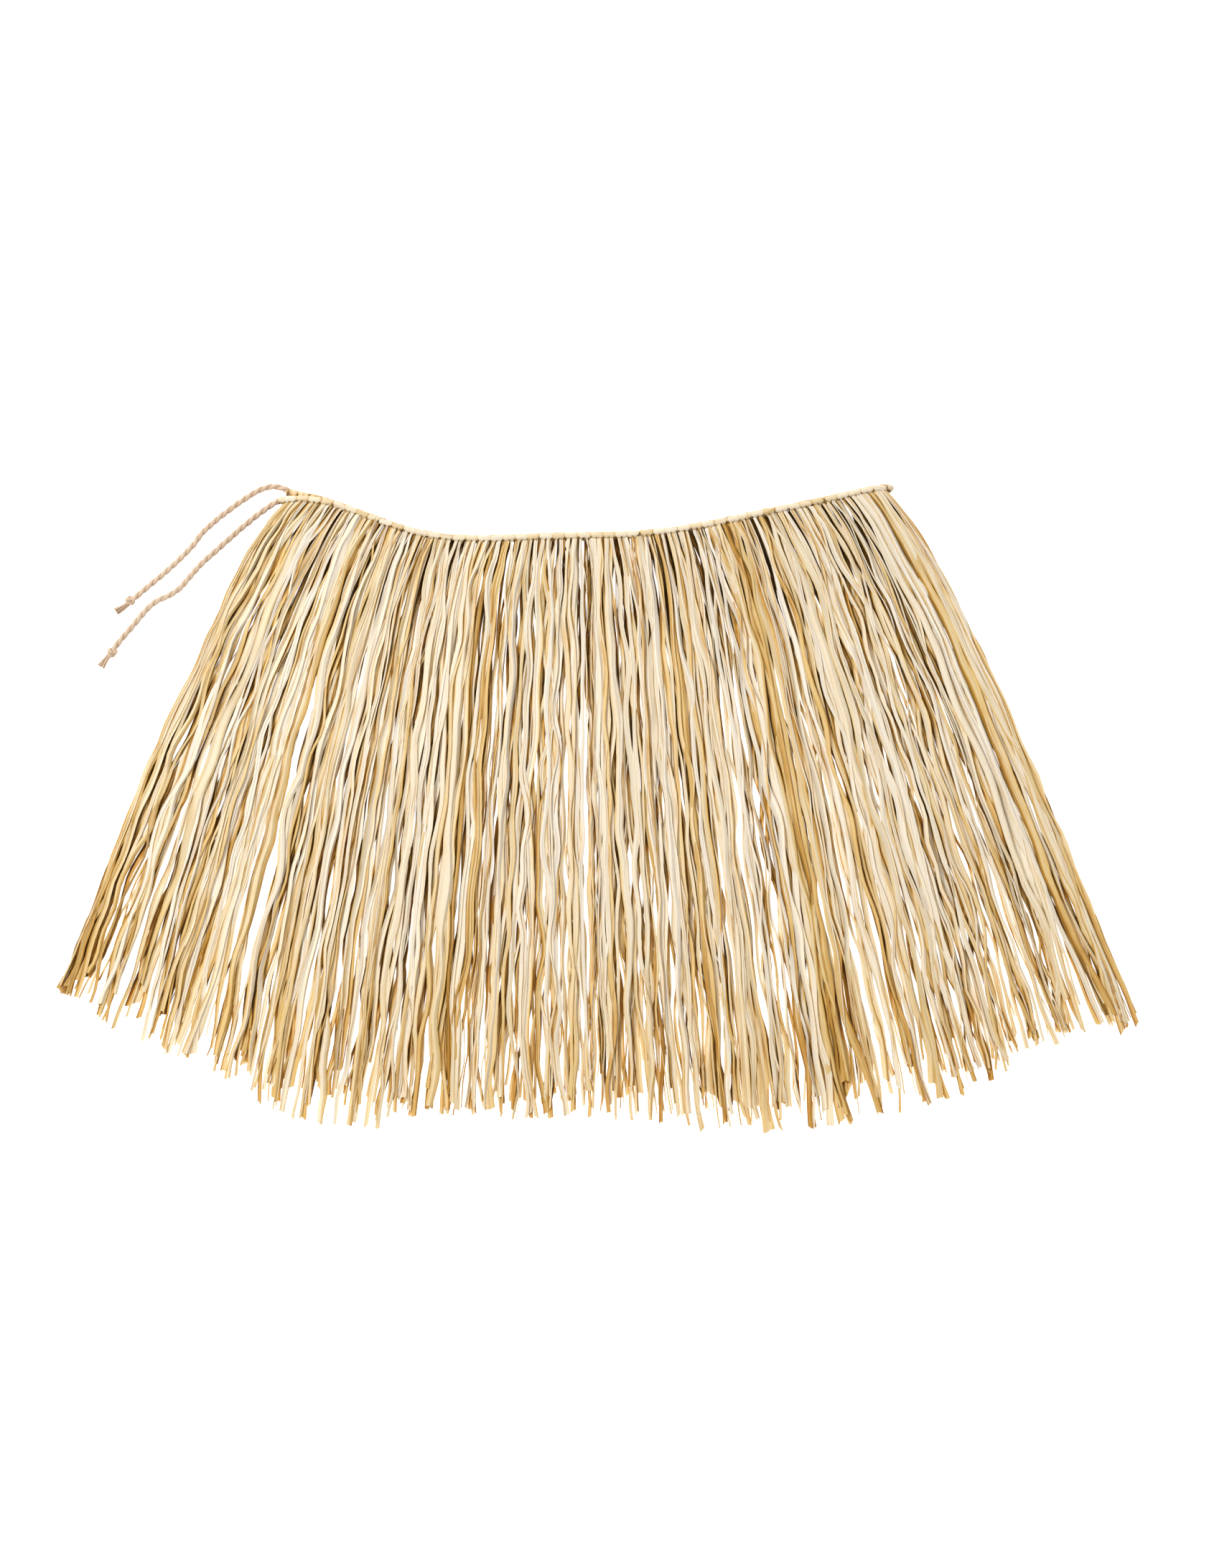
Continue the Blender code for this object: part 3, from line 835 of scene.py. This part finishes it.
# %% Middle lines of a family of strips
STATIONS = 56
LEGS = 2 * HITCHES
BOW = 11.0
FLARE = 5.0
FLARE_PLACE = 0.14
HANK_WAVES = ((0.8, 0.4), (2.2, 0.7), (4.0, 0.7), (6.0, 0.4))
OWN_WAVES = ((1.0, 0.5), (3.0, 0.8), (5.5, 0.7), (9.0, 0.25))
KINKS = 22
KINK_SIZE = 0.55
TIP_BEND = 3.8  # how far a cut end strays across its line
LEG_START = 1.6  # below the cord's middle, under the bight
HEM_HALF_WIDTH = (box_mm("fringe_front")[1][0] - box_mm("fringe_front")[0][0]) / 2
V = np.linspace(0, 1, STATIONS) ** 1.3  # closer together near the waist
FREE = ease(V / 0.07)


def hank_drift(side):
    """How far each leg's hank wanders across its own line, and its drift at the hem."""
    draw = np.random.default_rng({"back": 61, "front": 67}[side])
    return waves(draw, LEGS, V, HANK_WAVES), draw.normal(0, 0.0035, LEGS)


def middle_lines(draw, side, leg, shortfall, between):
    """Plan points (strip, station, xy) of strips that hang from these legs."""
    count = len(leg)
    share = (leg + 0.5 + between + draw.normal(0, 0.2, count)) / LEGS
    share = np.clip(share, 0.003, 1.0)
    hank, hank_spread = hank_drift(side)
    spread = hank_spread[leg] + draw.normal(0, 0.005, count)
    hitch = (leg // 2 + 0.5) / HITCHES
    waist_length = run_of(waist[side])[-1]
    pull = np.where(leg % 2, 1, -1) * LEG_PULL + draw.normal(0, 0.35, count)
    held = hitch + pull / waist_length
    start, down = at_waist(side, share)
    start = start[:, :2] + LEG_START * down[:, :2]
    tied, _ = at_waist(side, held)
    tied = tied[:, :2] + LEG_START * down[:, :2]
    target = np.clip(share + spread, -0.002, 0.998)
    end_x = HEM_HALF_WIDTH * (2 * target - 1)
    end = np.column_stack([end_x, np.interp(end_x, *hem[side])])
    chord = end - start
    length = np.linalg.norm(chord, axis=1)
    chord = chord * ((length - shortfall) / length)[:, None]
    across = np.column_stack([-chord[:, 1], chord[:, 0]]) / np.linalg.norm(chord, axis=1)[:, None]
    outward = (2 * share - 1)[:, None]
    bow = BOW * outward * np.sin(np.pi * V**0.8)
    flare = FLARE * np.sign(outward) * np.abs(outward) ** 0.6
    flare = flare * V / FLARE_PLACE * np.exp(1 - V / FLARE_PLACE)
    drift = hank[leg] + waves(draw, count, V, OWN_WAVES) + kinks(draw, count, V, KINKS, KINK_SIZE)
    stray = TIP_BEND * draw.normal(0, 1, (count, 1))
    drift = drift + stray * np.clip((V - 0.72) / 0.28, 0, 1) ** 1.6
    calm = np.clip(60 * np.minimum(share, 1 - share), 0.6, 1)  # the outer ones lie straighter
    drift = drift * calm[:, None]
    line = start[:, None] + chord[:, None] * V[None, :, None]
    line[..., 0] += bow + flare
    line += across[:, None] * (drift * FREE)[..., None]
    line += (tied - start)[:, None] * (1 - 2 * between) * (1 - ease(V / 0.035))[None, :, None]
    return line


# %% [markdown]
# The ribbon then gets its width, its creases, its turns and its height. Heights matter most
# for the look: strips lie over and under each other, and each shades the next. Near the waist
# the front layer comes down from its hitches, which sit on top of the back layer's.

# %% Ribbons on those lines
COLUMNS = 6
LEAF = 0.22  # thickness of the leaf
FALL_SHARE = 0.2


def ribbons(draw, side, leg, width, shortfall, level, start_z, between):
    """Points, UV and lengths of a family of strips: (strip, station, ring point, ...)."""
    count = len(leg)
    line = middle_lines(draw, side, leg, shortfall, between)
    tangent = np.gradient(line, axis=1)
    step = np.linalg.norm(tangent, axis=2, keepdims=True)
    tangent = tangent / step
    side_way = np.stack([-tangent[..., 1], tangent[..., 0]], -1)
    length = step[..., 0].sum(axis=1)

    s = np.linspace(-1, 1, COLUMNS)
    s = s + draw.uniform(-0.16, 0.16, (count, 1, COLUMNS)) * (np.abs(s) < 0.9)
    roll = waves(draw, count, V, ((0.8, 0.18), (3.0, 0.14), (7.0, 0.08)))
    turns = draw.uniform(0, 1, count) < TURNED_SHARE
    turn_place = draw.uniform(0.1, 0.85, (count, 1))
    turn = np.pi * ease((V - turn_place) / 0.1) * turns[:, None] * draw.choice((-1, 1), (count, 1))
    roll = roll + turn
    on_edge = np.sin(turn) ** 2
    gathered = draw.uniform(0.46, 0.66, (count, 1)) + 0.2 * between * (1 - ease(V / 0.2))
    full = gathered + 0.4 * ease(V / draw.uniform(0.04, 0.24, (count, 1)))
    full = full * (1 + 0.17 * kinks(draw, count, V, 17, 1.0)) * (1 - 0.35 * on_edge)
    taper = draw.uniform(0, 1, (count, 1)) ** 2 * 0.7
    full = full * (1 - taper * ease((V - 0.65) / 0.35))
    wide = width[:, None] * np.clip(full, 0.25, 1.3)

    fold = 0.42 * draw.normal(0, 1, (count, 1))
    fold = fold + waves(draw, count, V, ((1.5, 0.14), (4.0, 0.16), (9.0, 0.12)))
    fold = fold * (1 + 0.8 * (1 - ease(V / 0.3)))
    zigzag = np.array([1.0, -0.5, 0.6, -0.6, 0.5, -0.8]) * draw.normal(0, 0.24, (count, 1, COLUMNS))
    zigzag = zigzag * (1 + waves(draw, count, V, ((1.2, 0.3), (7.0, 0.3)))[..., None])
    crease_place = draw.uniform(-0.4, 0.4, (count, 1, 1))
    height = fold[..., None] * np.abs(s - crease_place) * 1.2 + zigzag
    height = height - height.mean(axis=2, keepdims=True)
    flat_half = wide[..., None] / 2
    a = s * flat_half
    h = height * flat_half
    across = a * np.cos(roll)[..., None] - h * np.sin(roll)[..., None]
    up = a * np.sin(roll)[..., None] + h * np.cos(roll)[..., None]
    up = up * np.clip(1.3 / (np.abs(up).max(axis=2, keepdims=True) + 1e-6), 0, 1)

    slant = draw.normal(0, 0.5, (count, 1, 1)) * s * flat_half
    slant = slant + draw.normal(0, 0.4, (count, 1, COLUMNS))
    ahead = slant * ease((V - 0.95) / 0.05)[None, :, None]
    plan = line[:, :, None] + side_way[:, :, None] * across[..., None]
    plan = plan + tangent[:, :, None] * ahead[..., None]

    fall = ease(1 - V / FALL_SHARE)
    centre_z = level[:, None] + waves(draw, count, V, ((1.5, 0.2), (5.0, 0.12)))
    centre_z = centre_z * (1 - 0.35 * ease((V - 0.72) / 0.28))
    centre_z = centre_z + (start_z[:, None] - level[:, None]) * fall
    top = np.concatenate([plan, (centre_z[..., None] + up)[..., None]], -1)
    below = top.copy()
    below[..., :2] += side_way[:, :, None] * (np.sin(roll)[..., None] * LEAF)[..., None]
    below[..., 2] -= np.cos(roll)[..., None] * LEAF
    ring = np.concatenate([top, below[:, :, ::-1]], axis=2)
    ring[..., 2] += np.maximum(0, 0.12 - ring[..., 2].min(axis=2, keepdims=True))

    across_uv = np.concatenate([a, a[..., ::-1]], axis=2) + draw.uniform(0, 500, (count, 1, 1))
    along_uv = (V * length[:, None])[..., None] + draw.uniform(0, 5000, (count, 1, 1))
    along_uv = along_uv + 0 * across_uv
    return ring, np.stack([across_uv, along_uv], -1), length


print(STATIONS, "stations along a strip,", COLUMNS, "creases across it")

# %% [markdown]
# ## The fringe
# A lark's head leaves two legs, and each leg is a hank of two or three strips. The legs stand
# 4.4 mm apart at the waist, where they fill it, and 7.7 mm apart at the hem, where the surface
# shows between them. Each layer is made as three families, one above the other.

# %% Make the strips
FAMILIES = (
    # name, layer, seed, share of the legs that have such a strip, level, its spread, and how
    # far it leaves the waist to one side of its leg, in legs
    ("strips_back_under", "back", 111, 0.84, 0.5, 0.2, 0.5),
    ("strips_back_middle", "back", 112, 0.94, 1.2, 0.3, 0.0),
    ("strips_back_over", "back", 113, 0.9, 1.9, 0.3, 0.0),
    ("strips_front_under", "front", 121, 0.84, 3.5, 0.3, 0.5),
    ("strips_front_middle", "front", 122, 0.95, 4.3, 0.35, 0.0),
    ("strips_front_over", "front", 123, 0.95, 5.1, 0.4, 0.0),
)
STRIP_WIDTH, WIDTH_SPREAD, WIDTH_LIMITS = 3.42, 0.36, (1.5, 8.5)
THREAD_SHARE, THREAD_WIDTHS = 0.14, (0.7, 1.6)  # mere threads, split off the edge of a leaf
TURNED_SHARE = 0.15  # of the strips turn over once
LONG_SHARE, LONG_BY = 0.06, (2, 9)  # a few strips hang below the hem
HANK_SHORT, OWN_SHORT, SHORT_FROM = 6.0, 7.0, 6.5  # how unevenly they fall short of it
GOLDEN_SHARE, GOLDEN = 0.14, 0.25  # strips that stayed golden, and how much darker that is
SHADE_AT_WAIST = 0.26  # painted shade, added to the tone of strips that the hitches shut in


def strip_family(name, side, seed, leg_share, level, level_spread, between):
    """Shape of one family, before it knows what lies on it."""
    draw = np.random.default_rng(seed)
    leg = np.flatnonzero(draw.uniform(0, 1, LEGS) < leg_share)
    if side == "front":
        leg = np.append(leg, [LEGS - 1, LEGS - 1])  # the hitch on the fold has strips too
    count = len(leg)
    width = np.clip(STRIP_WIDTH * draw.lognormal(0, WIDTH_SPREAD, count), *WIDTH_LIMITS)
    thread = draw.uniform(0, 1, count) < THREAD_SHARE
    width = np.where(thread, draw.uniform(*THREAD_WIDTHS, count), width)
    hank_draw = np.random.default_rng({"back": 71, "front": 73}[side])
    hank_short = hank_draw.exponential(HANK_SHORT, LEGS)
    shortfall = hank_short[leg] + draw.exponential(OWN_SHORT, count) - SHORT_FROM
    long = draw.uniform(0, 1, count) < LONG_SHARE
    shortfall = np.where(long, -draw.uniform(*LONG_BY, count), shortfall)
    shortfall = np.clip(shortfall, -9.0, 60.0)
    heights = level + level_spread * draw.uniform(-1, 1, count)
    outside = 1 if side == "front" else -1
    start_z = waist_z[side] + outside * (draw.uniform(1.7, 2.5, count) - 2.0 * between)
    ring, uv, length = ribbons(draw, side, leg, width, shortfall, heights, start_z, between)
    tone = np.clip(draw.normal(0.2, 0.11, count), 0.0, 0.7)
    golden = draw.uniform(0, 1, count) < GOLDEN_SHARE
    tone = np.where(golden, tone + GOLDEN, tone)
    ends = np.clip(12 * np.minimum(leg, LEGS - 1 - leg) / LEGS, 0, 1)
    painted_waist_shade = SHADE_AT_WAIST * ends * (between > 0 or side == "back")
    return {
        "name": name, "side": side, "ring": ring, "uv": uv,
        "length": length, "tone": tone, "painted_waist_shade": painted_waist_shade,
    }


families = [strip_family(*row) for row in FAMILIES]
print(sum(len(f["ring"]) for f in families), "strips in all")

# %% [markdown]
# ## Painted shade under the strips
# The strips on top stay cream, and those that lie under them are painted darker and more golden,
# as painted shade. To know which is which, the whole skirt is drawn as a height map, half a
# millimetre to a cell: each cell keeps the highest strip in it. The map is blurred by a few
# millimetres, and a point that lies far below the blurred map is a covered one. A narrower blur
# finds the crevices, which get a darker painted shade.

# %% Height map and how deep each point is covered
CELL = 0.5
BLUR_CELLS, RIM_CELLS = 5, 2  # reach of the wide blur and of the narrow one
MAP_MARGIN = 30.0  # round the model
DEEP = 2.1  # millimetres of cover that give a point the full painted shade


def height_map():
    """The highest strip over each cell, from points spread along and across every strip."""
    low = cad_low - MAP_MARGIN
    size = np.ceil((cad_high - cad_low + 2 * MAP_MARGIN)[:2] / CELL).astype(int)
    heights = np.zeros(size[0] * size[1])
    for family in families:
        top = family["ring"][:, :, :COLUMNS]
        for part in np.linspace(0, 1, 12, endpoint=False):
            between = top[:, :-1] * (1 - part) + top[:, 1:] * part
            for step in np.linspace(0, 1, 4):
                spot = between[:, :, :-1] * (1 - step) + between[:, :, 1:] * step
                cell = ((spot[..., :2] - low[:2]) / CELL).astype(int)
                flat_cell = cell[..., 0] * size[1] + cell[..., 1]
                np.maximum.at(heights, flat_cell.ravel(), spot[..., 2].ravel())
    return heights.reshape(size), low


def blurred(table, cells):
    """A running mean over `cells` each way, along one axis and then the other."""
    for axis in (0, 1):
        margins = [(cells + 1, cells) if a == axis else (0, 0) for a in (0, 1)]
        padded = np.pad(table, margins, mode="edge")
        total = np.cumsum(padded, axis=axis)
        ahead = np.take(total, np.arange(2 * cells + 1, total.shape[axis]), axis=axis)
        behind = np.take(total, np.arange(0, total.shape[axis] - 2 * cells - 1), axis=axis)
        table = (ahead - behind) / (2 * cells + 1)
    return table


cad_low, cad_high = (np.array(corner) / MM for corner in cad_box)
heights, map_low = height_map()
cover = blurred(heights, BLUR_CELLS)
rim = blurred(heights, RIM_CELLS)
print("height map", heights.shape, "highest", round(float(heights.max()), 1), "mm")

# %% Finish the strips
BURIED_SHADE = 0.42  # painted shade, added to the tone of a point that is fully covered
CREVICE_AT_WAIST, CREVICE_TO_HEM = 0.44, 0.3  # painted shade, added in a crevice, the second towards the hem
TIP_GOLD = 0.19  # the cut ends keep more of the leaf's gold


def finish_family(family):
    """Gives a family its tones, with painted shade from the cover above it, and makes its mesh."""
    ring = family["ring"]
    cell = ((ring[..., :2] - map_low[:2]) / CELL).astype(int)
    depth = cover[cell[..., 0], cell[..., 1]] - ring[..., 2]
    buried = np.clip((depth - 0.2) / DEEP, 0, 1)
    crevice = np.clip(rim[cell[..., 0], cell[..., 1]] - ring[..., 2] - 0.55, 0, 1)
    tone = family["tone"][:, None, None] + BURIED_SHADE * buried
    tone = tone + (CREVICE_AT_WAIST + CREVICE_TO_HEM * V)[:, None] * crevice
    tone = tone + (family["painted_waist_shade"][:, None] * np.exp(-V / 0.016))[..., None]
    tone = tone + TIP_GOLD * ease((V - 0.55) / 0.45)[None, :, None]
    across = np.linspace(-1, 1, COLUMNS)
    across = np.concatenate([across, across[::-1]])
    # Painted shade: both long edges of a strip a little darker, and on some strips a painted shadow
    # along one edge.
    shadowed_edge = np.random.default_rng(79).uniform(-1, 1, (len(ring), 1, 1)) ** 3
    tone = tone + 0.12 * np.abs(across) ** 3 + 0.4 * np.clip(shadowed_edge * across, 0, 1)
    points, quads, uv, tone = joined([(ring, family["uv"], np.clip(tone, 0, 1))])
    # These rings run the other way round than a ply's, so their quads are turned to face out.
    surface, node = (points, quads[:, ::-1], uv, tone), "fringe_" + family["side"]
    piece = make_piece(family["name"], surface, raffia, 28, node)


for family in families:
    finish_family(family)

# %% [markdown]
# ## The studio
# A plain white table and soft light. A small bright window high at the upper left gives the
# strips their lit and shaded sides, a wide dim one lies opposite, and a white room fills the
# rest. The table glows, as a light table does, so that it stays white in the narrow gaps.

# %% Table and light
def area_light(name, place, size, power, colour):
    """A square soft light that faces the skirt: turned by the angles of its own direction."""
    data = bpy.data.lights.new(name, "AREA")
    data.shape = "SQUARE"
    data.size = size
    data.energy = power
    data.color = linear(colour)[:3]
    light = bpy.data.objects.new(name, data)
    light.location = place
    tilt = math.acos(place[2] / math.dist(place, (0, 0, 0)))
    light.rotation_euler = (tilt, 0, math.atan2(place[1], place[0]) + math.pi / 2)
    bpy.context.scene.collection.objects.link(light)


TABLE_HALF, TABLE_Z = 4.0, -0.0003
table_mesh = bpy.data.meshes.new("white_table")
corners = [(-1, -1), (1, -1), (1, 1), (-1, 1)]
table_mesh.from_pydata(
    [(x * TABLE_HALF, y * TABLE_HALF, TABLE_Z) for x, y in corners], [], [(0, 1, 2, 3)]
)
table = bpy.data.objects.new("white_table", table_mesh)
bpy.context.scene.collection.objects.link(table)
paper, paper_tree = new_material("white_table_surface")
principled(paper_tree, {
    "Base Color": linear("#F6F6F6"), "Roughness": 0.9,
    "Emission Color": (1, 1, 1, 1), "Emission Strength": 1.0,
})
table_mesh.materials.append(paper)
table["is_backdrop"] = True

area_light("window", (-1.42, 1.26, 1.98), 0.45, 58.5, "#FFFDF8")
area_light("second_window", (1.4, -1.0, 2.6), 2.0, 14.0, "#FFFFFF")
world = bpy.data.worlds.new("white_room")
world.use_nodes = True
sky = world.node_tree.nodes["Background"].inputs
sky["Color"].default_value = linear("#FFFAF2")
sky["Strength"].default_value = 0.385
bpy.context.scene.world = world
bpy.context.scene.view_settings.view_transform = "Standard"

# %% Sizes, and finish
boxes = {"cad": cad_box, "visual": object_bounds()}
boxes = {name: [list(map(float, corner)) for corner in box] for name, box in boxes.items()}
